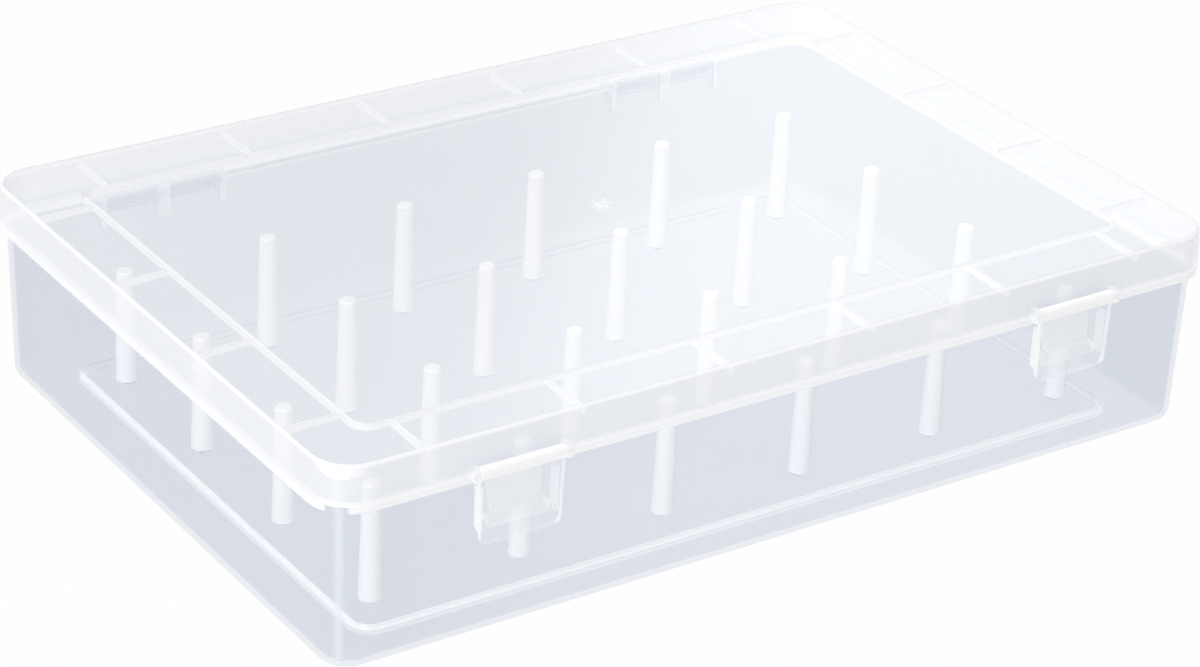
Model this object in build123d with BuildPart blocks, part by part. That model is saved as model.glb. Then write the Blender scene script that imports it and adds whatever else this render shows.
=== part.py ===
"""Clear thread spool box: a tray with 24 pegs, a hinged lid and two swing latches.

Millimetres.  +X runs along the long side, +Y points to the hinge side, +Z is up.
The origin is the centre of the underside, on the table.
"""
import os
from math import atan, degrees

from build123d import *

os.makedirs("parts", exist_ok=True)

# ---------------------------------------------------------------- pegs
PEG_PITCH = 50.0
PEG_COLUMNS = 6
PEG_ROWS = 4
PEG_HEIGHT = 37.4
PEG_BASE_RADIUS = 3.45
PEG_TIP_RADIUS = 2.65
PEG_SIDE_HOLLOW = 0.02
PEG_TIP_INSET = 0.5
PEG_TIP_FALL = 0.7
PLUG_WIDTH = 3.6
PLUG_CLEARANCE = 0.02
PLUG_SETBACK = 0.1

# ---------------------------------------------------------------- tray
FLOOR_THICKNESS = 1.6
PLATFORM_STEP = 1.2
PLATFORM_HALF_X = 135.4
PLATFORM_HALF_Y = 88.6
PLATFORM_CORNER = 6.0
PLATFORM_SLOPE = 0.8
WALL_THICKNESS = 1.6
WALL_FOOT_HALF_X = 153.0
WALL_FOOT_HALF_Y = 103.6
WALL_DRAFT = 1.2
FOOT_ROUND = 4.0
FOOT_INNER_ROUND = 2.4

# ---------------------------------------------------------------- rim
PARTING_HEIGHT = 53.8
FLANGE_HEIGHT = 2.5
FLANGE_REACH = 2.2
FLANGE_BEVEL = 0.6
TONGUE_HEIGHT = 2.5
RIM_CORNER = 13.2

# ---------------------------------------------------------------- lid
LID_HEIGHT = 12.5
LID_THICKNESS = 1.6
SKIRT_THICKNESS = 1.5
SKIRT_DRAFT = 0.8
LID_TOP_ROUND = 1.2
RING_HALF_X = 135.0
RING_HALF_Y = 85.0
RING_CORNER = 5.0
RING_WIDTH = 1.4
RING_DEPTH = 1.8
RIB_THICKNESS = 1.2
RIB_DEPTH_AT_SKIRT = 2.4
RIB_BITE = 0.6
GATE_RADIUS = 2.4
GATE_DEPTH = 0.4
GATE_NUB_RADIUS = 0.9

# ---------------------------------------------------------------- hinges
HINGE_CENTRE_X = 96.0
HINGE_HALF_WIDTH = 19.65
MIDDLE_EAR_WIDTH = 4.6
OUTER_EAR_WIDTH = 2.2
EAR_FOOT_FALL = 4.3
EAR_SIDE_GAP = 0.35
ROD_RADIUS = 2.0
ROD_CLEARANCE = 0.03
KNUCKLE_CLEARANCE = 0.06
KNUCKLE_RADIUS = 3.6
HINGE_AXIS_OUT = 2.2
HINGE_AXIS_DOWN = 7.0
LEAF_GAP = 0.3
LEAF_THICKNESS = 2.0
LEAF_RISE = 7.5
SNAP_MOUTH = 3.3
BACK_RIB_HEIGHT = 1.2
BACK_RIB_REACH = 1.8

# ---------------------------------------------------------------- latches
LATCH_CENTRE_X = 98.0
LATCH_WIDTH = 27.6
LATCH_SIDE_GAP = 0.2
LATCH_EAR_WIDTH = 1.8
BARREL_HALF = 1.9
BARREL_LIFT = 0.2
BARREL_STANDOFF = 2.4
BARREL_FRONT_ROUND = 0.7
PIN_RADIUS = 1.1
PIN_CLEARANCE = 0.03
PLATE_THICKNESS = 1.6
PLATE_SETBACK = 0.9
PLATE_DROP = 20.4
PLATE_NARROWING = 0.8
PLATE_CORNER = 2.4
CHEEK_THICKNESS = 1.3
CHEEK_DEPTH = 2.4
CHEEK_TOP_GAP = 0.6
CHEEK_DROP = 17.8
CATCH_WIDTH = 18.0
CATCH_NARROWING = 1.4
CATCH_DROP = 12.8
CATCH_SHOULDER_DROP = 10.4
CATCH_REACH = 2.9
CATCH_TOP_REACH = 0.9
CATCH_CUT_STANDOFF = 0.02
HOOK_WIDTH = 20.0
HOOK_GAP = 0.25
HOOK_HEIGHT = 2.6
HOOK_LIP = 0.87
HOOK_WALL_GAP = 0.9

# ---------------------------------------------------------------- picking faces
FACE_TOLERANCE = 0.01

# ---------------------------------------------------------------- derived sizes
platform_top = FLOOR_THICKNESS + PLATFORM_STEP
tongue_top = PARTING_HEIGHT + TONGUE_HEIGHT
flange_bottom = PARTING_HEIGHT - FLANGE_HEIGHT
lid_top = PARTING_HEIGHT + LID_HEIGHT
wall_slope = WALL_DRAFT / PARTING_HEIGHT
wall_angle = degrees(atan(wall_slope))
platform_angle = degrees(atan(PLATFORM_SLOPE / PLATFORM_STEP))
socket_width = PLUG_WIDTH + 2 * PLUG_CLEARANCE
plug_bottom = PLATFORM_STEP + PLUG_SETBACK


def wall_half_x(height):
    """Outer half length of the tray wall at a height."""
    return WALL_FOOT_HALF_X + wall_slope * height


def wall_half_y(height):
    """Outer half width of the tray wall at a height."""
    return WALL_FOOT_HALF_Y + wall_slope * height


rim_half_x = wall_half_x(PARTING_HEIGHT) + FLANGE_REACH
rim_half_y = wall_half_y(PARTING_HEIGHT) + FLANGE_REACH
wall_corner_top = RIM_CORNER - FLANGE_REACH
wall_corner_foot = wall_corner_top - WALL_DRAFT
lid_under = lid_top - LID_THICKNESS
skirt_slope = SKIRT_DRAFT / LID_HEIGHT
skirt_angle = degrees(atan(skirt_slope))

hinge_y = rim_half_y + HINGE_AXIS_OUT
hinge_z = PARTING_HEIGHT - HINGE_AXIS_DOWN
leaf_inner_y = rim_half_y + LEAF_GAP
leaf_outer_y = leaf_inner_y + LEAF_THICKNESS
leaf_top = PARTING_HEIGHT + LEAF_RISE
middle_slot_half = MIDDLE_EAR_WIDTH / 2 + EAR_SIDE_GAP
outer_ear_inner = HINGE_HALF_WIDTH + EAR_SIDE_GAP
outer_ear_outer = outer_ear_inner + OUTER_EAR_WIDTH

latch_axis_y = -(rim_half_y + BARREL_STANDOFF)
latch_axis_z = PARTING_HEIGHT + BARREL_LIFT + BARREL_HALF
barrel_front_y = latch_axis_y - BARREL_HALF
plate_front_y = barrel_front_y + PLATE_SETBACK
plate_back_y = plate_front_y + PLATE_THICKNESS
barrel_half_length = LATCH_WIDTH / 2
ear_inner = barrel_half_length + LATCH_SIDE_GAP
ear_outer = ear_inner + LATCH_EAR_WIDTH
catch_bottom = PARTING_HEIGHT - CATCH_DROP
catch_shoulder = PARTING_HEIGHT - CATCH_SHOULDER_DROP
plate_bottom = PARTING_HEIGHT - PLATE_DROP
cheek_bottom = PARTING_HEIGHT - CHEEK_DROP
hook_top = catch_bottom - HOOK_GAP
hook_bottom = hook_top - HOOK_HEIGHT
hook_tip_y = -(wall_half_y(hook_top) + HOOK_WALL_GAP)

peg_xs = [(column - (PEG_COLUMNS - 1) / 2) * PEG_PITCH for column in range(PEG_COLUMNS)]
peg_ys = [(row - (PEG_ROWS - 1) / 2) * PEG_PITCH for row in range(PEG_ROWS)]
sides = {"left": -1, "right": 1}


def rounded_box(half_x, half_y, corner):
    """Rounded rectangle sketch from half sizes."""
    return RectangleRounded(2 * half_x, 2 * half_y, corner)


# ================================================================ tray
with BuildPart() as tray:
    # drafted outer block with a rounded foot
    with BuildSketch(Plane.XY):
        rounded_box(WALL_FOOT_HALF_X, WALL_FOOT_HALF_Y, wall_corner_foot)
    extrude(amount=tongue_top, taper=-wall_angle)
    fillet(tray.edges().group_by(Axis.Z)[0], radius=FOOT_ROUND)

    # hollow
    with BuildSketch(Plane.XY.offset(FLOOR_THICKNESS)):
        rounded_box(
            wall_half_x(FLOOR_THICKNESS) - WALL_THICKNESS,
            wall_half_y(FLOOR_THICKNESS) - WALL_THICKNESS,
            wall_corner_foot - WALL_THICKNESS,
        )
    extrude(amount=tongue_top - FLOOR_THICKNESS, taper=-wall_angle, mode=Mode.SUBTRACT)
    inner_floor = tray.faces().filter_by(Axis.Z).sort_by(Axis.Z)[1]
    fillet(inner_floor.edges(), radius=FOOT_INNER_ROUND)

    # raised platform above, matching recess below
    with BuildSketch(Plane.XY.offset(FLOOR_THICKNESS)):
        rounded_box(PLATFORM_HALF_X + PLATFORM_SLOPE, PLATFORM_HALF_Y + PLATFORM_SLOPE, PLATFORM_CORNER)
    extrude(amount=PLATFORM_STEP, taper=platform_angle)
    with BuildSketch(Plane.XY):
        rounded_box(PLATFORM_HALF_X, PLATFORM_HALF_Y, PLATFORM_CORNER)
    extrude(amount=PLATFORM_STEP, taper=platform_angle, mode=Mode.SUBTRACT)

    # one square socket for every peg
    with BuildSketch(Plane.XY):
        with GridLocations(PEG_PITCH, PEG_PITCH, PEG_COLUMNS, PEG_ROWS):
            Rectangle(socket_width, socket_width)
    extrude(amount=platform_top, mode=Mode.SUBTRACT)

    # flange that the lid's skirt stands on
    with BuildSketch(Plane.XY.offset(flange_bottom)):
        rounded_box(rim_half_x, rim_half_y, RIM_CORNER)
        rounded_wall_x = wall_half_x(flange_bottom) - WALL_THICKNESS / 2
        rounded_wall_y = wall_half_y(flange_bottom) - WALL_THICKNESS / 2
        RectangleRounded(
            2 * rounded_wall_x,
            2 * rounded_wall_y,
            wall_corner_top - WALL_THICKNESS / 2,
            mode=Mode.SUBTRACT,
        )
    extrude(amount=FLANGE_HEIGHT)
    flange_under = tray.faces().filter_by(Axis.Z).filter_by_position(
        Axis.Z, flange_bottom - FACE_TOLERANCE, flange_bottom + FACE_TOLERANCE
    )[0]
    chamfer(flange_under.outer_wire().edges(), length=FLANGE_BEVEL)

    # ramped catches for the latch hooks
    for side in sides.values():
        centre = side * LATCH_CENTRE_X
        catch_wall = -(wall_half_y(catch_bottom) - WALL_THICKNESS / 2)
        with BuildSketch(Plane.YZ.offset(centre - CATCH_WIDTH / 2)):
            with BuildLine():
                Polyline(
                    (catch_wall, flange_bottom + FLANGE_HEIGHT / 2),
                    (-wall_half_y(flange_bottom) - CATCH_TOP_REACH, flange_bottom + FLANGE_HEIGHT / 2),
                    (-wall_half_y(flange_bottom) - CATCH_TOP_REACH, flange_bottom),
                    (-wall_half_y(catch_shoulder) - CATCH_REACH, catch_shoulder),
                    (-wall_half_y(catch_shoulder) - CATCH_REACH, catch_bottom),
                    (catch_wall, catch_bottom),
                    close=True,
                )
            make_face()
        extrude(amount=CATCH_WIDTH)
        for edge_side in (-1, 1):
            edge_x = centre + edge_side * CATCH_WIDTH / 2
            with BuildSketch(Plane.XZ.offset(wall_half_y(catch_shoulder) + CATCH_CUT_STANDOFF)):
                with BuildLine():
                    Polyline(
                        (edge_x, flange_bottom),
                        (edge_x - edge_side * CATCH_NARROWING, catch_bottom),
                        (edge_x, catch_bottom),
                        close=True,
                    )
                make_face()
            extrude(amount=2 * CATCH_REACH, mode=Mode.SUBTRACT)

    # hinge ears on the back wall
    ear_wall_y = wall_half_y(hinge_z) - WALL_THICKNESS / 2
    for side in sides.values():
        centre = side * HINGE_CENTRE_X
        ear_spans = [
            (centre - outer_ear_outer, OUTER_EAR_WIDTH),
            (centre - MIDDLE_EAR_WIDTH / 2, MIDDLE_EAR_WIDTH),
            (centre + outer_ear_inner, OUTER_EAR_WIDTH),
        ]
        for start, width in ear_spans:
            with BuildSketch(Plane.YZ.offset(start)):
                with Locations((hinge_y, hinge_z)):
                    Circle(KNUCKLE_RADIUS)
                with BuildLine():
                    Polyline(
                        (ear_wall_y, hinge_z + KNUCKLE_RADIUS),
                        (hinge_y, hinge_z + KNUCKLE_RADIUS),
                        (hinge_y, hinge_z - KNUCKLE_RADIUS),
                        (ear_wall_y, hinge_z - KNUCKLE_RADIUS - EAR_FOOT_FALL),
                        close=True,
                    )
                make_face()
            extrude(amount=width)
        with BuildSketch(Plane.YZ.offset(centre - outer_ear_outer)):
            with Locations((hinge_y, hinge_z)):
                Circle(ROD_RADIUS + ROD_CLEARANCE)
        extrude(amount=2 * outer_ear_outer, mode=Mode.SUBTRACT)

    # stiffening rib along the back wall between the hinges
    back_rib_z = hinge_z + BACK_RIB_HEIGHT
    back_rib_half = HINGE_CENTRE_X - outer_ear_inner - OUTER_EAR_WIDTH / 2
    with BuildSketch(Plane.YZ.offset(-back_rib_half)):
        with BuildLine():
            Polyline(
                (ear_wall_y, back_rib_z),
                (wall_half_y(back_rib_z) + BACK_RIB_REACH, back_rib_z),
                (wall_half_y(back_rib_z) + BACK_RIB_REACH, back_rib_z + BACK_RIB_HEIGHT),
                (ear_wall_y, back_rib_z + BACK_RIB_HEIGHT),
                close=True,
            )
        make_face()
    extrude(amount=2 * back_rib_half)

tray.part.label = "tray"
export_step(tray.part, "parts/tray.step")

# ================================================================ lid
with BuildPart() as lid:
    # drafted shell with a rounded top edge
    with BuildSketch(Plane.XY.offset(PARTING_HEIGHT)):
        rounded_box(rim_half_x, rim_half_y, RIM_CORNER)
    extrude(amount=LID_HEIGHT, taper=skirt_angle)
    fillet(lid.edges().group_by(Axis.Z)[-1], radius=LID_TOP_ROUND)
    with BuildSketch(Plane.XY.offset(PARTING_HEIGHT)):
        rounded_box(
            rim_half_x - SKIRT_THICKNESS, rim_half_y - SKIRT_THICKNESS, RIM_CORNER - SKIRT_THICKNESS
        )
    extrude(amount=lid_under - PARTING_HEIGHT, taper=skirt_angle, mode=Mode.SUBTRACT)

    # rounded ring of rib under the top
    with BuildSketch(Plane.XY.offset(lid_under - RING_DEPTH)):
        rounded_box(RING_HALF_X + RING_WIDTH / 2, RING_HALF_Y + RING_WIDTH / 2, RING_CORNER + RING_WIDTH / 2)
        RectangleRounded(
            2 * RING_HALF_X - RING_WIDTH,
            2 * RING_HALF_Y - RING_WIDTH,
            RING_CORNER - RING_WIDTH / 2,
            mode=Mode.SUBTRACT,
        )
    extrude(amount=RING_DEPTH)

    # tapered ribs from the ring out to the skirt, in line with the pegs
    inner_draft = skirt_slope * (lid_under - PARTING_HEIGHT)
    skirt_bite_y = rim_half_y - SKIRT_THICKNESS + RIB_BITE - inner_draft
    skirt_bite_x = rim_half_x - SKIRT_THICKNESS + RIB_BITE - inner_draft
    for side in (-1, 1):
        for peg_x in peg_xs:
            with BuildSketch(Plane.YZ.offset(peg_x - RIB_THICKNESS / 2)):
                with BuildLine():
                    Polyline(
                        (side * RING_HALF_Y, lid_under),
                        (side * skirt_bite_y, lid_under),
                        (side * skirt_bite_y, lid_under - RIB_DEPTH_AT_SKIRT),
                        (side * RING_HALF_Y, lid_under - RING_DEPTH),
                        close=True,
                    )
                make_face()
            extrude(amount=RIB_THICKNESS)
        for peg_y in peg_ys:
            with BuildSketch(Plane.XZ.offset(-peg_y - RIB_THICKNESS / 2)):
                with BuildLine():
                    Polyline(
                        (side * RING_HALF_X, lid_under),
                        (side * skirt_bite_x, lid_under),
                        (side * skirt_bite_x, lid_under - RIB_DEPTH_AT_SKIRT),
                        (side * RING_HALF_X, lid_under - RING_DEPTH),
                        close=True,
                    )
                make_face()
            extrude(amount=RIB_THICKNESS)

    # latch ears on the front of the skirt
    ear_back_y = -(rim_half_y - SKIRT_THICKNESS / 2)
    for side in sides.values():
        centre = side * LATCH_CENTRE_X
        for start in (centre - ear_outer, centre + ear_inner):
            with BuildSketch(Plane.YZ.offset(start)):
                with BuildLine():
                    Polyline(
                        (ear_back_y, latch_axis_z - BARREL_HALF),
                        (barrel_front_y, latch_axis_z - BARREL_HALF),
                        (barrel_front_y, latch_axis_z + BARREL_HALF),
                        (ear_back_y, latch_axis_z + BARREL_HALF),
                        close=True,
                    )
                make_face()
            extrude(amount=LATCH_EAR_WIDTH)
        with BuildSketch(Plane.YZ.offset(centre - ear_outer)):
            with Locations((latch_axis_y, latch_axis_z)):
                Circle(PIN_RADIUS + PIN_CLEARANCE)
        extrude(amount=2 * ear_outer, mode=Mode.SUBTRACT)

    # hinge leaves with two snap knuckles each
    for side in sides.values():
        centre = side * HINGE_CENTRE_X
        with BuildSketch(Plane.YZ.offset(centre - HINGE_HALF_WIDTH)):
            with BuildLine():
                Polyline(
                    (leaf_inner_y, hinge_z),
                    (leaf_outer_y, hinge_z),
                    (leaf_outer_y, leaf_top - LEAF_THICKNESS),
                    (rim_half_y - SKIRT_THICKNESS / 2, leaf_top),
                    (rim_half_y - SKIRT_THICKNESS / 2, PARTING_HEIGHT + LEAF_GAP),
                    (leaf_inner_y, PARTING_HEIGHT + LEAF_GAP),
                    close=True,
                )
            make_face()
            with Locations((hinge_y, hinge_z)):
                Circle(KNUCKLE_RADIUS)
        extrude(amount=2 * HINGE_HALF_WIDTH)
        with BuildSketch(Plane.YZ.offset(centre - HINGE_HALF_WIDTH)):
            with Locations((hinge_y, hinge_z)):
                Circle(ROD_RADIUS + KNUCKLE_CLEARANCE)
            with Locations((hinge_y - KNUCKLE_RADIUS, hinge_z)):
                Rectangle(2 * KNUCKLE_RADIUS, SNAP_MOUTH)
        extrude(amount=2 * HINGE_HALF_WIDTH, mode=Mode.SUBTRACT)
        slot_top = hinge_z + KNUCKLE_RADIUS + EAR_SIDE_GAP
        slot_bottom = hinge_z - KNUCKLE_RADIUS - EAR_SIDE_GAP
        with BuildSketch(Plane.YZ.offset(centre - middle_slot_half)):
            with Locations((hinge_y, (slot_top + slot_bottom) / 2)):
                Rectangle(4 * KNUCKLE_RADIUS, slot_top - slot_bottom)
        extrude(amount=2 * middle_slot_half, mode=Mode.SUBTRACT)

    # moulding gate mark in the middle of the top
    with BuildSketch(Plane.XY.offset(lid_top)):
        Circle(GATE_RADIUS)
        Circle(GATE_NUB_RADIUS, mode=Mode.SUBTRACT)
    extrude(amount=-GATE_DEPTH, mode=Mode.SUBTRACT)

lid.part.label = "lid"
export_step(lid.part, "parts/lid.step")

# ================================================================ pegs
shoulder_height = platform_top + PEG_HEIGHT - PEG_TIP_FALL
for row, peg_y in enumerate(peg_ys):
    for column, peg_x in enumerate(peg_xs):
        peg_name = f"peg_row{row + 1}_column{column + 1}"
        with BuildPart() as peg:
            with BuildSketch(Plane((peg_x, peg_y, 0), x_dir=(1, 0, 0), z_dir=(0, -1, 0))):
                with BuildLine():
                    Polyline(
                        (PEG_TIP_RADIUS, shoulder_height),
                        (PEG_TIP_RADIUS - PEG_TIP_INSET, platform_top + PEG_HEIGHT),
                        (0, platform_top + PEG_HEIGHT),
                        (0, platform_top),
                        (PEG_BASE_RADIUS, platform_top),
                    )
                    # the side is hollow by a hair, as a drafted pin draws in when it cools
                    ThreePointArc(
                        (PEG_BASE_RADIUS, platform_top),
                        (
                            (PEG_BASE_RADIUS + PEG_TIP_RADIUS) / 2 - PEG_SIDE_HOLLOW,
                            (platform_top + shoulder_height) / 2,
                        ),
                        (PEG_TIP_RADIUS, shoulder_height),
                    )
                make_face()
            revolve(axis=Axis((peg_x, peg_y, 0), (0, 0, 1)))
            # square plug that sits in the floor's socket and stops the peg turning
            with BuildSketch(Plane.XY.offset(plug_bottom)):
                with Locations((peg_x, peg_y)):
                    Rectangle(PLUG_WIDTH, PLUG_WIDTH)
            extrude(amount=platform_top - plug_bottom)
        peg.part.label = peg_name
        export_step(peg.part, f"parts/{peg_name}.step")

# ================================================================ hinge rods
for name, side in sides.items():
    with BuildPart() as rod:
        with BuildSketch(Plane.YZ.offset(side * HINGE_CENTRE_X - outer_ear_outer)):
            with Locations((hinge_y, hinge_z)):
                Circle(ROD_RADIUS)
        extrude(amount=2 * outer_ear_outer)
    rod.part.label = f"hinge_rod_{name}"
    export_step(rod.part, f"parts/hinge_rod_{name}.step")

# ================================================================ latches and their pins
for name, side in sides.items():
    centre = side * LATCH_CENTRE_X
    with BuildPart() as latch:
        # barrel: round towards the skirt, square towards the front
        with BuildSketch(Plane.YZ.offset(centre - barrel_half_length)):
            with Locations((latch_axis_y, latch_axis_z)):
                Circle(BARREL_HALF)
            with Locations((latch_axis_y - BARREL_HALF / 2, latch_axis_z)):
                Rectangle(BARREL_HALF, 2 * BARREL_HALF)
        extrude(amount=LATCH_WIDTH)
        front_edges = latch.edges().filter_by(Axis.X).group_by(Axis.Y)[0]
        fillet(front_edges, radius=BARREL_FRONT_ROUND)

        # plate, a little narrower at the foot
        with BuildSketch(Plane.XZ.offset(-plate_back_y)):
            with BuildLine():
                Polyline(
                    (centre - barrel_half_length, latch_axis_z),
                    (centre + barrel_half_length, latch_axis_z),
                    (centre + barrel_half_length - PLATE_NARROWING, plate_bottom),
                    (centre - barrel_half_length + PLATE_NARROWING, plate_bottom),
                    close=True,
                )
            make_face()
        extrude(amount=PLATE_THICKNESS)
        foot_corners = latch.edges().filter_by(Axis.Y).group_by(Axis.Z)[0]
        fillet(foot_corners, radius=PLATE_CORNER)

        # cheeks down both sides
        cheek_top = flange_bottom - CHEEK_TOP_GAP
        for cheek_side in (-1, 1):
            cheek_edge = centre + cheek_side * (barrel_half_length - PLATE_NARROWING)
            cheek_start = min(cheek_edge, cheek_edge - cheek_side * CHEEK_THICKNESS)
            with BuildSketch(Plane.YZ.offset(cheek_start)):
                with BuildLine():
                    Polyline(
                        (plate_front_y + PLATE_THICKNESS / 2, cheek_top),
                        (plate_back_y + CHEEK_DEPTH, cheek_top),
                        (plate_back_y + CHEEK_DEPTH, hook_bottom),
                        (plate_front_y + PLATE_THICKNESS / 2, cheek_bottom),
                        close=True,
                    )
                make_face()
            extrude(amount=CHEEK_THICKNESS)

        # hook that reaches under the catch
        with BuildSketch(Plane.YZ.offset(centre - HOOK_WIDTH / 2)):
            with BuildLine():
                Polyline(
                    (plate_front_y + PLATE_THICKNESS / 2, hook_top),
                    (hook_tip_y, hook_top),
                    (hook_tip_y, hook_top - HOOK_LIP),
                    (plate_back_y, hook_bottom - HOOK_LIP),
                    (plate_front_y + PLATE_THICKNESS / 2, hook_bottom - HOOK_LIP),
                    close=True,
                )
            make_face()
        extrude(amount=HOOK_WIDTH)

        # bore for the pin
        with BuildSketch(Plane.YZ.offset(centre - barrel_half_length)):
            with Locations((latch_axis_y, latch_axis_z)):
                Circle(PIN_RADIUS + PIN_CLEARANCE)
        extrude(amount=LATCH_WIDTH, mode=Mode.SUBTRACT)
    latch.part.label = f"latch_{name}"
    export_step(latch.part, f"parts/latch_{name}.step")

    with BuildPart() as pin:
        with BuildSketch(Plane.YZ.offset(centre - ear_outer)):
            with Locations((latch_axis_y, latch_axis_z)):
                Circle(PIN_RADIUS)
        extrude(amount=2 * ear_outer)
    pin.part.label = f"latch_pin_{name}"
    export_step(pin.part, f"parts/latch_pin_{name}.step")
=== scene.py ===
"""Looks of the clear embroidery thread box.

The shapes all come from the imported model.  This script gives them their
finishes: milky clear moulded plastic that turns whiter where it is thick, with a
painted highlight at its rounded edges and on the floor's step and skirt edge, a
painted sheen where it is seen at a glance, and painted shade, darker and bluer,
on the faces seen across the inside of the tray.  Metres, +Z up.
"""
import math

import bpy
from mathutils import Matrix, Vector


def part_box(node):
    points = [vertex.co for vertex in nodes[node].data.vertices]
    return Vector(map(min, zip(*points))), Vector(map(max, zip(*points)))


MM = 0.001
WHITE = (1.0, 1.0, 1.0, 1.0)

# ------------------------------------------------------------ light and floor
WORLD_LIGHT = 0.72
KEY_PLACE = (-1.5, -0.9, 1.6)
KEY_TARGET = (0, 0, 0)
KEY_SIZE = 1.2
KEY_POWER = 20.0
CARD_Y = 1.4
CARD_WIDTH = 0.9
CARD_HEIGHT = 1.0
CARD_POWER = 7.0
CARD_EDGE_LOW = (0.960, 0.770)
CARD_EDGE_HIGH = (0.880, 1.015)
FLOOR_REACH = 6.0
FLOOR_DROP = 0.2 * MM
FLOOR_COLOUR = (0.9, 0.9, 0.9, 1.0)
FLOOR_ROUGHNESS = 0.9
FLOOR_GLOW_SHARE = 0.92
TRANSPARENT_BOUNCES = 48

# ------------------------------------------------------------ the photograph's view
PHOTO_WIDTH_PX = 1200
FOCAL_LENGTH_PX = 3719.7
SENSOR_WIDTH_MM = 36.0
CLIP_START = 0.05
CLIP_END = 30.0
CAMERA_PLACE = (-0.5846, -0.8486, 0.5517)
CAMERA_AZIMUTH_DEG = -34.63
CAMERA_ELEVATION_DEG = 27.24
CAMERA_ROLL_DEG = 2.70

# ------------------------------------------------------------ sizes of the part
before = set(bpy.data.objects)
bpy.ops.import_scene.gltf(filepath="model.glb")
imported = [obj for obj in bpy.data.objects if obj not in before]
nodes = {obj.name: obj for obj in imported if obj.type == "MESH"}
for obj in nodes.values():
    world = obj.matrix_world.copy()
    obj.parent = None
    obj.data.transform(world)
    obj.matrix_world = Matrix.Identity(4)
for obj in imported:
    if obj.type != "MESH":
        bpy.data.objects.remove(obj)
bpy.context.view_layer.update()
tray_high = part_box("tray")[1]
lid_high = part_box("lid")[1]

LID_THICKNESS = 1.6 * MM
LID_HEIGHT = 12.5 * MM
RIB_DEPTH = 2.4 * MM
FLANGE_REACH = 2.2 * MM
LENGTH_OVER_WIDTH = 49.4 * MM
SKIRT_INSET = 0.2 * MM
GATE_RADIUS = 2.4 * MM
FLOOR_THICKNESS = 1.6 * MM
PLATFORM_HALF_X = 135.4 * MM
PLATFORM_HALF_Y = 88.6 * MM
PLATFORM_CORNER = 6.0 * MM
PLATFORM_SLOPE = 0.8 * MM
PLATFORM_STEP = 1.2 * MM

WALL_TOP_X = lid_high.x - FLANGE_REACH
WALL_TOP_Y = WALL_TOP_X - LENGTH_OVER_WIDTH
SKIRT_INNER_X = WALL_TOP_X - SKIRT_INSET
SKIRT_INNER_Y = WALL_TOP_Y - SKIRT_INSET
PLATFORM_TOP = FLOOR_THICKNESS + PLATFORM_STEP
LID_UNDER = lid_high.z - LID_THICKNESS
LID_LOW_EDGE = lid_high.z - LID_HEIGHT

# ------------------------------------------------------------ where the plastic looks different
OUTLINE_SOFTNESS = 0.3 * MM
RIB_MARGIN = 0.2 * MM
RIB_SOFTNESS = 0.1 * MM
SKIRT_EDGE_ABOVE = 0.7 * MM
SKIRT_EDGE_BELOW = 1.0 * MM
SKIRT_EDGE_SOFTNESS = 0.2 * MM
GATE_MILKINESS = 0.3
PROUD_FROM = 0.1 * MM
PROUD_FULL = 0.5 * MM
STEP_EDGE = 0.35 * MM
STEP_EDGE_SOFTNESS = STEP_EDGE / 4
STEP_MARGIN = 0.1 * MM
STEP_X = PLATFORM_HALF_X + PLATFORM_SLOPE + STEP_MARGIN
STEP_Y = PLATFORM_HALF_Y + PLATFORM_SLOPE + STEP_MARGIN
# How much painted highlight the upward faces of the floor's step edges get.
STEP_HIGHLIGHT_SHARE = 0.65
PANEL_BORDER = 1.4 * MM
PANEL_BORDER_SOFTNESS = 0.2 * MM
LATCH_BAR_FROM = LID_LOW_EDGE + 0.1 * MM
LATCH_BAR_FULL = LID_LOW_EDGE + 0.4 * MM
# Painted shade on the far faces inside the tray: how softly it sets in, and where it fades out
# below the rim.
FAR_SOFTNESS = 4.0 * MM
RIM_FADE_LOW = LID_LOW_EDGE - 3.5 * MM
RIM_FADE_HIGH = LID_LOW_EDGE - 2.5 * MM

# How far a face is turned towards an axis, where 1 is straight towards it.
CORNER_LIMITS = (0.55, 0.70)
UPRIGHT_LIMITS = (0.2, 0.4)
FROM_ABOVE_LIMITS = (0.0, 0.2)
SIDE_LIMITS = (0.6, 0.8)

# How fast the rounded mask fades towards flat faces, and how strong it grows.
FLAT_FALLOFF = 4.0
ROUNDED_GAIN = 5.0

# ------------------------------------------------------------ what the plastics share
FORM_SOFTNESS = 0.12
MOST_CLEAR = 0.01
MOST_MILKY = 0.97
PLASTIC_IOR = 1.49
GLANCE_BLEND = 0.5
GLANCE_POWER = 3.0
BUMP_STRENGTH = 0.012
BUMP_DISTANCE = 0.1 * MM

# ------------------------------------------------------------ flow marks and scuffs
STREAKS = 0.012
SCUFFS = 0.008
CLOUD_SCALE = 11.0
CLOUD_DETAIL = 2.0
CLOUD_ROUGHNESS = 0.4
CLOUD_DISTORTION = 0.2
STREAK_LIMITS = (0.2, 0.8)
PATCH_LIMITS = (0.42, 0.72)
SCRATCH_STRETCH = (900.0, 60.0, 300.0)
SCRATCH_TURN = (0.0, 0.0, 0.6)
SCRATCH_DETAIL = 4.0
SCRATCH_LIMITS = (0.60, 0.74)
PEEL_SCALE = 420.0
PEEL_DETAIL = 1.0
PATCH_ROUGHNESS = 0.05
SCUFF_ROUGHNESS = 0.04
SCUFF_HEIGHT = -0.08


# ============================================================ node helpers
def add_node(tree, kind, **settings):
    """A new shader node with its settings."""
    node = tree.nodes.new(kind)
    for name, value in settings.items():
        setattr(node, name, value)
    return node


def link(tree, source, target):
    """Joins an output to an input."""
    tree.links.new(source, target)


def maths(tree, operation, first, second=None, clamp=False):
    """A Math node; each input is a number or an output."""
    node = add_node(tree, "ShaderNodeMath", operation=operation, use_clamp=clamp)
    for socket, value in zip(node.inputs, (first, second)):
        if value is None:
            continue
        if isinstance(value, (int, float)):
            socket.default_value = value
        else:
            link(tree, value, socket)
    return node.outputs[0]


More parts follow.
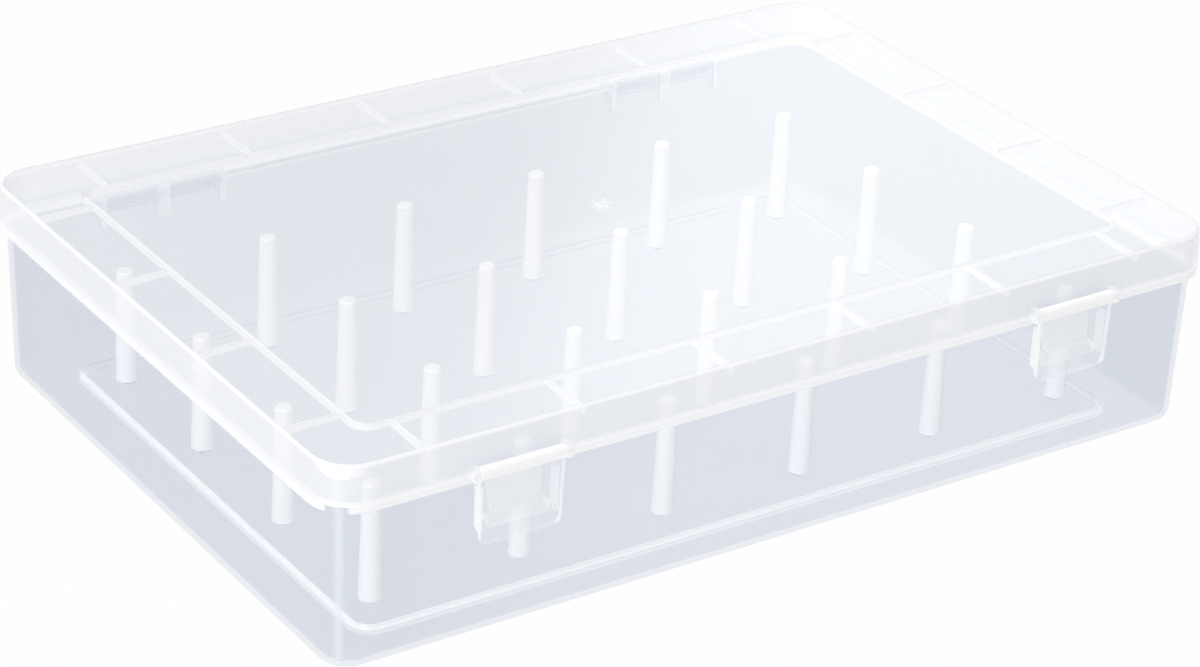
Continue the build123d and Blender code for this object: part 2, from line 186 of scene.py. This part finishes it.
def ramp(tree, value, from_low, from_high, to_low, to_high, smooth=False):
    """Maps one range of values onto another and clamps it."""
    node = add_node(tree, "ShaderNodeMapRange", clamp=True)
    if smooth:
        node.interpolation_type = "SMOOTHSTEP"
    link(tree, value, node.inputs["Value"])
    for name, number in zip(
        ("From Min", "From Max", "To Min", "To Max"), (from_low, from_high, to_low, to_high)
    ):
        node.inputs[name].default_value = number
    return node.outputs["Result"]


def band(tree, value, low, high, soft):
    """1 between two values and 0 outside, with a soft change."""
    rise = ramp(tree, value, low - soft, low + soft, 0.0, 1.0)
    fall = ramp(tree, value, high - soft, high + soft, 1.0, 0.0)
    return maths(tree, "MULTIPLY", rise, fall)


def add_noise(tree, vector, **values):
    """A Noise Texture's value at a place; its inputs are given by name."""
    node = add_node(tree, "ShaderNodeTexNoise")
    for name, value in values.items():
        node.inputs[name].default_value = value
    link(tree, vector, node.inputs["Vector"])
    return node.outputs["Fac"]


def split_coordinate(tree, kind):
    """The x, y and z outputs of Object, a place on the piece at rest, or of Normal."""
    place = add_node(tree, "ShaderNodeTexCoord")
    split = add_node(tree, "ShaderNodeSeparateXYZ")
    link(tree, place.outputs[kind], split.inputs["Vector"])
    return split.outputs


def blend_colours(tree, factor, first, second):
    """Mixes two colours by a factor; each is a tuple or an output."""
    node = add_node(tree, "ShaderNodeMix", data_type="RGBA")
    link(tree, factor, node.inputs["Factor"])
    for socket, value in ((node.inputs[6], first), (node.inputs[7], second)):
        if isinstance(value, tuple):
            socket.default_value = value
        else:
            link(tree, value, socket)
    return node.outputs[2]


def mix_shaders(tree, factor, first, second):
    """The output of a Mix Shader of two shader outputs."""
    node = add_node(tree, "ShaderNodeMixShader")
    link(tree, factor, node.inputs["Fac"])
    link(tree, first, node.inputs[1])
    link(tree, second, node.inputs[2])
    return node.outputs["Shader"]


def clear_shader(tree, colour):
    """A Transparent shader's output; its colour is a tuple or an output."""
    node = add_node(tree, "ShaderNodeBsdfTransparent")
    if isinstance(colour, tuple):
        node.inputs["Color"].default_value = colour
    else:
        link(tree, colour, node.inputs["Color"])
    return node.outputs["BSDF"]


def new_group(name, inputs, outputs):
    """A shader node group with named float inputs and outputs."""
    group = bpy.data.node_groups.new(name, "ShaderNodeTree")
    for direction, socket_names in (("INPUT", inputs), ("OUTPUT", outputs)):
        for socket_name in socket_names:
            group.interface.new_socket(
                name=socket_name, in_out=direction, socket_type="NodeSocketFloat"
            )
    start = group.nodes.new("NodeGroupInput")
    end = group.nodes.new("NodeGroupOutput")
    return group, start, end


def place_group(tree, group, **values):
    """Puts a group into a material with its own values."""
    node = tree.nodes.new("ShaderNodeGroup")
    node.node_tree = group
    for name, value in values.items():
        node.inputs[name].default_value = value
    return node


# ============================================================ shared effects
def make_moulded_form_group():
    """Which way a face lies: rounded or sloped, an upright corner, or upright."""
    group, start, end = new_group(
        "moulded form", ["Softness"], ["Rounded", "Corner", "Upright"]
    )
    facing = split_coordinate(group, "Normal")
    across, along, rise = (maths(group, "ABSOLUTE", part) for part in facing)

    leaving_flat = maths(group, "SUBTRACT", 1.0, rise)
    off_flat = maths(group, "MULTIPLY", leaving_flat, FLAT_FALLOFF)
    steep = maths(group, "MINIMUM", rise, off_flat)
    rounded = maths(group, "SUBTRACT", steep, start.outputs["Softness"])
    rounded = maths(group, "MULTIPLY", rounded, ROUNDED_GAIN, clamp=True)
    link(group, rounded, end.inputs["Rounded"])

    turned = maths(group, "MINIMUM", across, along)
    link(group, ramp(group, turned, *CORNER_LIMITS, 0.0, 1.0), end.inputs["Corner"])
    link(group, ramp(group, rise, *UPRIGHT_LIMITS, 1.0, 0.0), end.inputs["Upright"])
    return group


def make_flow_group():
    """Faint flow streaks, orange peel and fine scuffs of moulded clear plastic."""
    group, start, end = new_group(
        "moulded flow", ["Streaks", "Scuffs"], ["Haze", "Roughness", "Height"]
    )
    place = add_node(group, "ShaderNodeTexCoord").outputs["Object"]
    cloud = add_noise(group, place, Scale=CLOUD_SCALE, Detail=CLOUD_DETAIL,
                      Roughness=CLOUD_ROUGHNESS, Distortion=CLOUD_DISTORTION)
    streak = ramp(group, cloud, *STREAK_LIMITS, -1.0, 1.0)
    streak_part = maths(group, "MULTIPLY", streak, start.outputs["Streaks"])

    stretch = add_node(group, "ShaderNodeMapping")
    stretch.inputs["Scale"].default_value = SCRATCH_STRETCH
    stretch.inputs["Rotation"].default_value = SCRATCH_TURN
    link(group, place, stretch.inputs["Vector"])
    scratch = add_noise(group, stretch.outputs["Vector"], Scale=1.0, Detail=SCRATCH_DETAIL)
    fine = ramp(group, scratch, *SCRATCH_LIMITS, 0.0, 1.0)
    patches = ramp(group, cloud, *PATCH_LIMITS, 0.0, 1.0, smooth=True)
    scuffed = maths(group, "MULTIPLY", fine, patches)
    scuff_part = maths(group, "MULTIPLY", scuffed, start.outputs["Scuffs"])
    link(group, maths(group, "ADD", streak_part, scuff_part), end.inputs["Haze"])

    patch_part = maths(group, "MULTIPLY", patches, PATCH_ROUGHNESS)
    scratch_part = maths(group, "MULTIPLY", scuffed, SCUFF_ROUGHNESS)
    link(group, maths(group, "ADD", patch_part, scratch_part), end.inputs["Roughness"])

    peel = add_noise(group, place, Scale=PEEL_SCALE, Detail=PEEL_DETAIL)
    dents = maths(group, "MULTIPLY", scuffed, SCUFF_HEIGHT)
    link(group, maths(group, "ADD", peel, dents), end.inputs["Height"])
    return group


moulded_form = make_moulded_form_group()
moulded_flow = make_flow_group()


# ============================================================ masks on the pieces
def inside_outline(tree, x, y, half_x, half_y):
    """1 inside an upright box outline, 0 outside."""
    inside_x, inside_y = (
        ramp(tree, maths(tree, "ABSOLUTE", value), half, half + OUTLINE_SOFTNESS, 1.0, 0.0)
        for value, half in ((x, half_x), (y, half_y))
    )
    return maths(tree, "MULTIPLY", inside_x, inside_y)


def lid_thick_and_highlight_places(tree):
    """The ribs under the top, the moulding mark, and a painted highlight along the lower edge of
    the skirt.
    """
    x, y, z = split_coordinate(tree, "Object")
    ribs = band(tree, z, LID_UNDER - RIB_DEPTH - RIB_MARGIN, LID_UNDER - RIB_MARGIN, RIB_SOFTNESS)
    ribs = maths(tree, "MULTIPLY", ribs, inside_outline(tree, x, y, SKIRT_INNER_X, SKIRT_INNER_Y))
    # Painted highlight: a bright band along the lower edge of the skirt.
    lower_edge = band(tree, z, LID_LOW_EDGE - SKIRT_EDGE_BELOW, LID_LOW_EDGE + SKIRT_EDGE_ABOVE,
                      SKIRT_EDGE_SOFTNESS)
    mark = inside_outline(tree, x, y, GATE_RADIUS, GATE_RADIUS)
    mark = maths(tree, "MULTIPLY", mark, GATE_MILKINESS)
    return maths(tree, "MAXIMUM", maths(tree, "MAXIMUM", ribs, lower_edge), mark)


def tray_proud_places(tree):
    """What stands out from the wall: the rim flange, catches, hinge ears and back rib."""
    place = split_coordinate(tree, "Object")
    proud_y = maths(tree, "SUBTRACT", maths(tree, "ABSOLUTE", place["Y"]), WALL_TOP_Y)
    proud_x = maths(tree, "SUBTRACT", maths(tree, "ABSOLUTE", place["X"]), WALL_TOP_X)
    furthest = maths(tree, "MAXIMUM", proud_x, proud_y)
    return ramp(tree, furthest, PROUD_FROM, PROUD_FULL, 0.0, 1.0)


def floor_step_edges(tree):
    """The foot and the crest of the slope round the floor's raised panel."""
    x, y, z = split_coordinate(tree, "Object")
    slope = place_group(tree, moulded_form, Softness=FORM_SOFTNESS).outputs["Rounded"]
    foot, crest = (
        band(tree, z, height - STEP_EDGE, height + STEP_EDGE, STEP_EDGE_SOFTNESS)
        for height in (FLOOR_THICKNESS, PLATFORM_TOP)
    )
    edges = maths(tree, "MULTIPLY", slope, maths(tree, "MAXIMUM", foot, crest))
    return maths(tree, "MULTIPLY", edges, inside_outline(tree, x, y, STEP_X, STEP_Y))


def tray_thick_and_highlight_places(tree):
    """The proud places, and a painted highlight on the two edges of the floor's step where they
    face up.
    """
    facing = split_coordinate(tree, "Normal")
    # Painted highlight: the step's edges turn whiter only where they face up.
    from_above = ramp(tree, facing["Z"], *FROM_ABOVE_LIMITS, 0.0, STEP_HIGHLIGHT_SHARE)
    step = maths(tree, "MULTIPLY", floor_step_edges(tree), from_above)
    return maths(tree, "MAXIMUM", tray_proud_places(tree), step)


def latch_thick_places(tree):
    """The bar over the pin, and the side faces, which are seen edge on."""
    height = split_coordinate(tree, "Object")["Z"]
    bar = ramp(tree, height, LATCH_BAR_FROM, LATCH_BAR_FULL, 0.0, 1.0)
    sideways = maths(tree, "ABSOLUTE", split_coordinate(tree, "Normal")["X"])
    side = ramp(tree, sideways, *SIDE_LIMITS, 0.0, 1.0)
    return maths(tree, "MAXIMUM", bar, side)


def panel_border(tree):
    """The slopes round the floor's raised panel and its recess, and a strip beside them."""
    x, y, z = split_coordinate(tree, "Object")
    squares = []
    for value, half in ((x, PLATFORM_HALF_X), (y, PLATFORM_HALF_Y)):
        past_corner = maths(tree, "ABSOLUTE", value)
        past_corner = maths(tree, "SUBTRACT", past_corner, half - PLATFORM_CORNER)
        past_corner = maths(tree, "MAXIMUM", past_corner, 0.0)
        squares.append(maths(tree, "MULTIPLY", past_corner, past_corner))
    distance = maths(tree, "SQRT", maths(tree, "ADD", *squares))
    border = band(tree, distance, PLATFORM_CORNER - PLATFORM_SLOPE,
                  PLATFORM_CORNER + PANEL_BORDER, PANEL_BORDER_SOFTNESS)
    low = ramp(tree, z, PLATFORM_TOP - STEP_EDGE, PLATFORM_TOP, 1.0, 0.0)
    return maths(tree, "MULTIPLY", border, low)


def tray_far_shade_side(tree):
    """The floor and the walls that are seen across the inside of the tray.

    The normal turns to face the viewer, so a wall counts as far when it is seen from
    inside the tray and as near when it is seen from outside.  The far faces carry
    painted shade: a darker, bluer milk and tint.
    """
    place = add_node(tree, "ShaderNodeTexCoord")
    middle = add_node(tree, "ShaderNodeVectorMath", operation="SUBTRACT")
    link(tree, place.outputs["Object"], middle.inputs[0])
    middle.inputs[1].default_value = (0.0, 0.0, tray_high.z / 2)
    outward = add_node(tree, "ShaderNodeVectorMath", operation="DOT_PRODUCT")
    link(tree, middle.outputs["Vector"], outward.inputs[0])
    link(tree, place.outputs["Normal"], outward.inputs[1])
    inward = ramp(tree, outward.outputs["Value"], -FAR_SOFTNESS, 0.0, 1.0, 0.0)
    height = split_coordinate(tree, "Object")["Z"]
    below_rim = ramp(tree, height, RIM_FADE_LOW, RIM_FADE_HIGH, 1.0, 0.0)
    # The proud places and the strip round the floor's panel are kept free of the painted shade.
    clearer = maths(tree, "MAXIMUM", tray_proud_places(tree), panel_border(tree))
    plain_wall = maths(tree, "SUBTRACT", 1.0, clearer)
    return maths(tree, "MULTIPLY", maths(tree, "MULTIPLY", inward, below_rim), plain_wall)


# ============================================================ clear plastic
def clear_plastic(name, milk, thick_and_highlight_milk, tint, lamp_tint, face_haze, glance_sheen_haze, rounded_highlight_haze,
                  corner_haze, upright_haze, roughness, thick_and_highlight_places=None, thick_and_highlight_haze=0.0,
                  far_shade_side=None, far_shade_milk=None, far_shade_tint=None, far_shade_haze=0.0):
    """Milky clear plastic: haze over tinted clear, with a gloss that grows at a glance.

    The haze is denser at rounded edges, on upright faces, at a glance and where the
    moulding is thick.  Rounded edges get a painted highlight and a glance a painted
    sheen: there the colour turns to the whiter milk, as it does on thick places and
    on places given as painted highlight.  The far faces have a darker, bluer milk and
    tint and more haze of their own, a painted shade.  Lamp light and scattered light
    pass with lamp_tint, because haze sends them onwards instead of taking them away.
    """
    material = bpy.data.materials.new(name)
    material.use_nodes = True
    tree = material.node_tree
    principled = tree.nodes["Principled BSDF"]
    output = tree.nodes["Material Output"]

    form = place_group(tree, moulded_form, Softness=FORM_SOFTNESS)
    flow = place_group(tree, moulded_flow, Streaks=STREAKS, Scuffs=SCUFFS)
    glance = add_node(tree, "ShaderNodeLayerWeight")
    glance.inputs["Blend"].default_value = GLANCE_BLEND
    glancing = maths(tree, "POWER", glance.outputs["Facing"], GLANCE_POWER)

    rounded = form.outputs["Rounded"]
    corner = form.outputs["Corner"]
    colour = milk
    clear = tint
    shares = []
    # Painted shade: the far faces get a darker, bluer milk and tint and more haze, and no edge or
    # corner haze.
    if far_shade_side is not None:
        far = far_shade_side(tree)
        near = maths(tree, "SUBTRACT", 1.0, far)
        rounded = maths(tree, "MULTIPLY", rounded, near)
        corner = maths(tree, "MULTIPLY", corner, near)
        shares.append((far, far_shade_haze))
        colour = blend_colours(tree, far, milk, far_shade_milk)
        clear = blend_colours(tree, far, tint, far_shade_tint)
    shares += [
        (glancing, glance_sheen_haze),
        (rounded, rounded_highlight_haze),
        (corner, corner_haze),
        (form.outputs["Upright"], upright_haze),
    ]
    # Painted highlight at rounded edges and painted sheen at a glance: there, as on the thick
    # places, the colour turns to the whiter milk.
    bright = maths(tree, "ADD", rounded, glancing, clamp=True)
    if thick_and_highlight_places is not None:
        # Thick places, and on the lid and tray also the places of painted highlight.
        thick = thick_and_highlight_places(tree)
        shares.append((thick, thick_and_highlight_haze))
        bright = maths(tree, "ADD", bright, thick, clamp=True)

    haze = maths(tree, "ADD", flow.outputs["Haze"], face_haze)
    for mask, share in shares:
        haze = maths(tree, "ADD", haze, maths(tree, "MULTIPLY", mask, share))
    haze = ramp(tree, haze, MOST_CLEAR, MOST_MILKY, MOST_CLEAR, MOST_MILKY)

    link(tree, blend_colours(tree, bright, colour, thick_and_highlight_milk), principled.inputs["Base Color"])
    rough = maths(tree, "ADD", flow.outputs["Roughness"], roughness)
    link(tree, rough, principled.inputs["Roughness"])
    principled.inputs["IOR"].default_value = PLASTIC_IOR

    bump = add_node(tree, "ShaderNodeBump")
    bump.inputs["Strength"].default_value = BUMP_STRENGTH
    bump.inputs["Distance"].default_value = BUMP_DISTANCE
    link(tree, flow.outputs["Height"], bump.inputs["Height"])
    link(tree, bump.outputs["Normal"], principled.inputs["Normal"])

    milky = mix_shaders(tree, haze, clear_shader(tree, clear), principled.outputs["BSDF"])
    path = add_node(tree, "ShaderNodeLightPath")
    passing = clear_shader(tree, lamp_tint)
    lit = mix_shaders(tree, path.outputs["Is Diffuse Ray"], milky, passing)
    whole = mix_shaders(tree, path.outputs["Is Shadow Ray"], lit, passing)
    link(tree, whole, output.inputs["Surface"])
    return material


tray_plastic = clear_plastic(
    "clear tray plastic",
    milk=(0.78, 0.82, 0.90, 1.0),
    thick_and_highlight_milk=(0.95, 0.955, 0.97, 1.0),
    tint=(0.984, 0.987, 0.993, 1.0),
    lamp_tint=(0.985, 0.988, 0.992, 1.0),
    face_haze=0.03,
    glance_sheen_haze=0.10,
    rounded_highlight_haze=0.22,
    corner_haze=0.42,
    upright_haze=0.0,
    roughness=0.2,
    thick_and_highlight_places=tray_thick_and_highlight_places,
    thick_and_highlight_haze=0.85,
    far_shade_side=tray_far_shade_side,
    # Painted shade on the far faces: a darker, bluer milk and tint.
    far_shade_milk=(0.40, 0.44, 0.52, 1.0),
    far_shade_tint=(0.899, 0.915, 0.943, 1.0),
    far_shade_haze=0.12,
)
lid_plastic = clear_plastic(
    "clear lid plastic",
    milk=(0.90, 0.91, 0.94, 1.0),
    thick_and_highlight_milk=(0.96, 0.962, 0.97, 1.0),
    tint=(0.985, 0.987, 0.990, 1.0),
    lamp_tint=(0.985, 0.988, 0.992, 1.0),
    face_haze=0.22,
    glance_sheen_haze=0.25,
    rounded_highlight_haze=0.6,
    corner_haze=0.15,
    upright_haze=0.22,
    roughness=0.2,
    thick_and_highlight_places=lid_thick_and_highlight_places,
    thick_and_highlight_haze=0.76,
)
peg_plastic = clear_plastic(
    "milky peg plastic",
    milk=(0.95, 0.955, 0.965, 1.0),
    thick_and_highlight_milk=(0.97, 0.97, 0.975, 1.0),
    tint=(0.97, 0.975, 0.985, 1.0),
    lamp_tint=(0.95, 0.955, 0.965, 1.0),
    face_haze=0.86,
    glance_sheen_haze=0.1,
    rounded_highlight_haze=0.1,
    corner_haze=0.0,
    upright_haze=0.0,
    roughness=0.3,
)
latch_plastic = clear_plastic(
    "milky latch plastic",
    milk=(0.94, 0.945, 0.955, 1.0),
    thick_and_highlight_milk=(0.98, 0.972, 0.975, 1.0),
    tint=(0.975, 0.980, 0.990, 1.0),
    lamp_tint=(0.95, 0.955, 0.965, 1.0),
    face_haze=0.21,
    glance_sheen_haze=0.3,
    rounded_highlight_haze=0.3,
    corner_haze=0.2,
    upright_haze=0.0,
    roughness=0.22,
    thick_and_highlight_places=latch_thick_places,
    thick_and_highlight_haze=0.6,
)
pin_plastic = clear_plastic(
    "milky pin plastic",
    milk=(0.94, 0.945, 0.955, 1.0),
    thick_and_highlight_milk=(0.98, 0.975, 0.98, 1.0),
    tint=(0.975, 0.980, 0.990, 1.0),
    lamp_tint=(0.95, 0.955, 0.965, 1.0),
    face_haze=0.65,
    glance_sheen_haze=0.2,
    rounded_highlight_haze=0.1,
    corner_haze=0.0,
    upright_haze=0.0,
    roughness=0.25,
)


def finish_for(node_name):
    """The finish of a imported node."""
    if node_name == "tray":
        return tray_plastic
    if node_name == "lid":
        return lid_plastic
    if node_name.startswith("peg"):
        return peg_plastic
    if node_name.startswith(("latch_pin", "hinge_rod")):
        return pin_plastic
    return latch_plastic


for node_name, node_object in nodes.items():
    node_object.data.materials.clear()
    node_object.data.materials.append(finish_for(node_name))


# ============================================================ floor, light and camera
def axes_matrix(right, up, back, place):
    """The matrix of an object with these axes at this place."""
    matrix = Matrix((right, up, back)).transposed().to_4x4()
    matrix.translation = place
    return matrix


def make_floor():
    """A white floor that the camera sees as white, with a trace of shadow."""
    mesh = bpy.data.meshes.new("floor")
    corners = [
        (x, y, -FLOOR_DROP)
        for x, y in (
            (-FLOOR_REACH, -FLOOR_REACH), (FLOOR_REACH, -FLOOR_REACH),
            (FLOOR_REACH, FLOOR_REACH), (-FLOOR_REACH, FLOOR_REACH),
        )
    ]
    mesh.from_pydata(corners, [], [(0, 1, 2, 3)])
    floor = bpy.data.objects.new("floor", mesh)
    bpy.context.scene.collection.objects.link(floor)
    material = bpy.data.materials.new("white floor")
    material.use_nodes = True
    tree = material.node_tree
    principled = tree.nodes["Principled BSDF"]
    output = tree.nodes["Material Output"]
    principled.inputs["Base Color"].default_value = FLOOR_COLOUR
    principled.inputs["Roughness"].default_value = FLOOR_ROUGHNESS
    principled.inputs["Specular IOR Level"].default_value = 0.0
    glow = add_node(tree, "ShaderNodeEmission")
    glow.inputs["Color"].default_value = WHITE
    glow.inputs["Strength"].default_value = 1.0
    path = add_node(tree, "ShaderNodeLightPath")
    seen = maths(tree, "MAXIMUM", path.outputs["Is Camera Ray"], path.outputs["Is Glossy Ray"])
    seen = maths(tree, "MAXIMUM", seen, path.outputs["Is Transmission Ray"])
    glowing = maths(tree, "MULTIPLY", seen, FLOOR_GLOW_SHARE)
    whole = mix_shaders(tree, glowing, principled.outputs["BSDF"], glow.outputs["Emission"])
    link(tree, whole, output.inputs["Surface"])
    mesh.materials.append(material)


def make_world():
    """White surroundings: full white to the camera, softer as light."""
    world = bpy.data.worlds.new("studio")
    bpy.context.scene.world = world
    world.use_nodes = True
    tree = world.node_tree
    background = tree.nodes["Background"]
    background.inputs["Color"].default_value = WHITE
    path = add_node(tree, "ShaderNodeLightPath")
    strength = ramp(tree, path.outputs["Is Camera Ray"], 0.0, 1.0, WORLD_LIGHT, 1.0)
    link(tree, strength, background.inputs["Strength"])


def add_area_lamp(name, shape, size, power):
    """An area lamp that is placed afterwards."""
    data = bpy.data.lights.new(name, "AREA")
    data.shape = shape
    data.size = size
    data.energy = power
    lamp = bpy.data.objects.new(name, data)
    bpy.context.scene.collection.objects.link(lamp)
    return lamp


def add_key_softbox():
    """A large soft lamp, left of the box, in front of it and above it."""
    lamp = add_area_lamp("key softbox", "SQUARE", KEY_SIZE, KEY_POWER)
    aim = Vector(KEY_TARGET) - Vector(KEY_PLACE)
    lamp.location = KEY_PLACE
    lamp.rotation_mode = "QUATERNION"
    lamp.rotation_quaternion = aim.to_track_quat("-Z", "Y")


def add_back_card():
    """A lit card behind the box; the right part of the lid mirrors it."""
    edge_low = Vector((CARD_EDGE_LOW[0], CARD_Y, CARD_EDGE_LOW[1]))
    edge_high = Vector((CARD_EDGE_HIGH[0], CARD_Y, CARD_EDGE_HIGH[1]))
    up = (edge_high - edge_low).normalized()
    outward = Vector((0.0, 1.0, 0.0))
    right = up.cross(outward)
    centre = (edge_low + edge_high) / 2 - right * CARD_WIDTH / 2
    card = add_area_lamp("back card", "RECTANGLE", CARD_WIDTH, CARD_POWER)
    card.data.size_y = CARD_HEIGHT
    card.matrix_world = axes_matrix(right, up, outward, centre)


def make_camera():
    """The camera at the photograph's viewing angle."""
    data = bpy.data.cameras.new("camera")
    data.sensor_width = SENSOR_WIDTH_MM
    data.sensor_fit = "HORIZONTAL"
    data.lens = FOCAL_LENGTH_PX / PHOTO_WIDTH_PX * SENSOR_WIDTH_MM
    data.clip_start = CLIP_START
    data.clip_end = CLIP_END
    camera = bpy.data.objects.new("camera", data)
    bpy.context.scene.collection.objects.link(camera)
    azimuth = math.radians(CAMERA_AZIMUTH_DEG)
    elevation = math.radians(CAMERA_ELEVATION_DEG)
    roll = math.radians(CAMERA_ROLL_DEG)
    back = Vector((
        math.sin(azimuth) * math.cos(elevation),
        -math.cos(azimuth) * math.cos(elevation),
        math.sin(elevation),
    ))
    level_right = Vector((math.cos(azimuth), math.sin(azimuth), 0.0))
    level_up = back.cross(level_right)
    right = level_right * math.cos(roll) + level_up * math.sin(roll)
    up = back.cross(right)
    camera.matrix_world = axes_matrix(right, up, back, CAMERA_PLACE)
    bpy.context.scene.camera = camera


make_camera()
make_floor()
make_world()
add_key_softbox()
add_back_card()

scene = bpy.context.scene
scene.view_settings.view_transform = "Standard"
scene.cycles.transparent_max_bounces = TRANSPARENT_BOUNCES
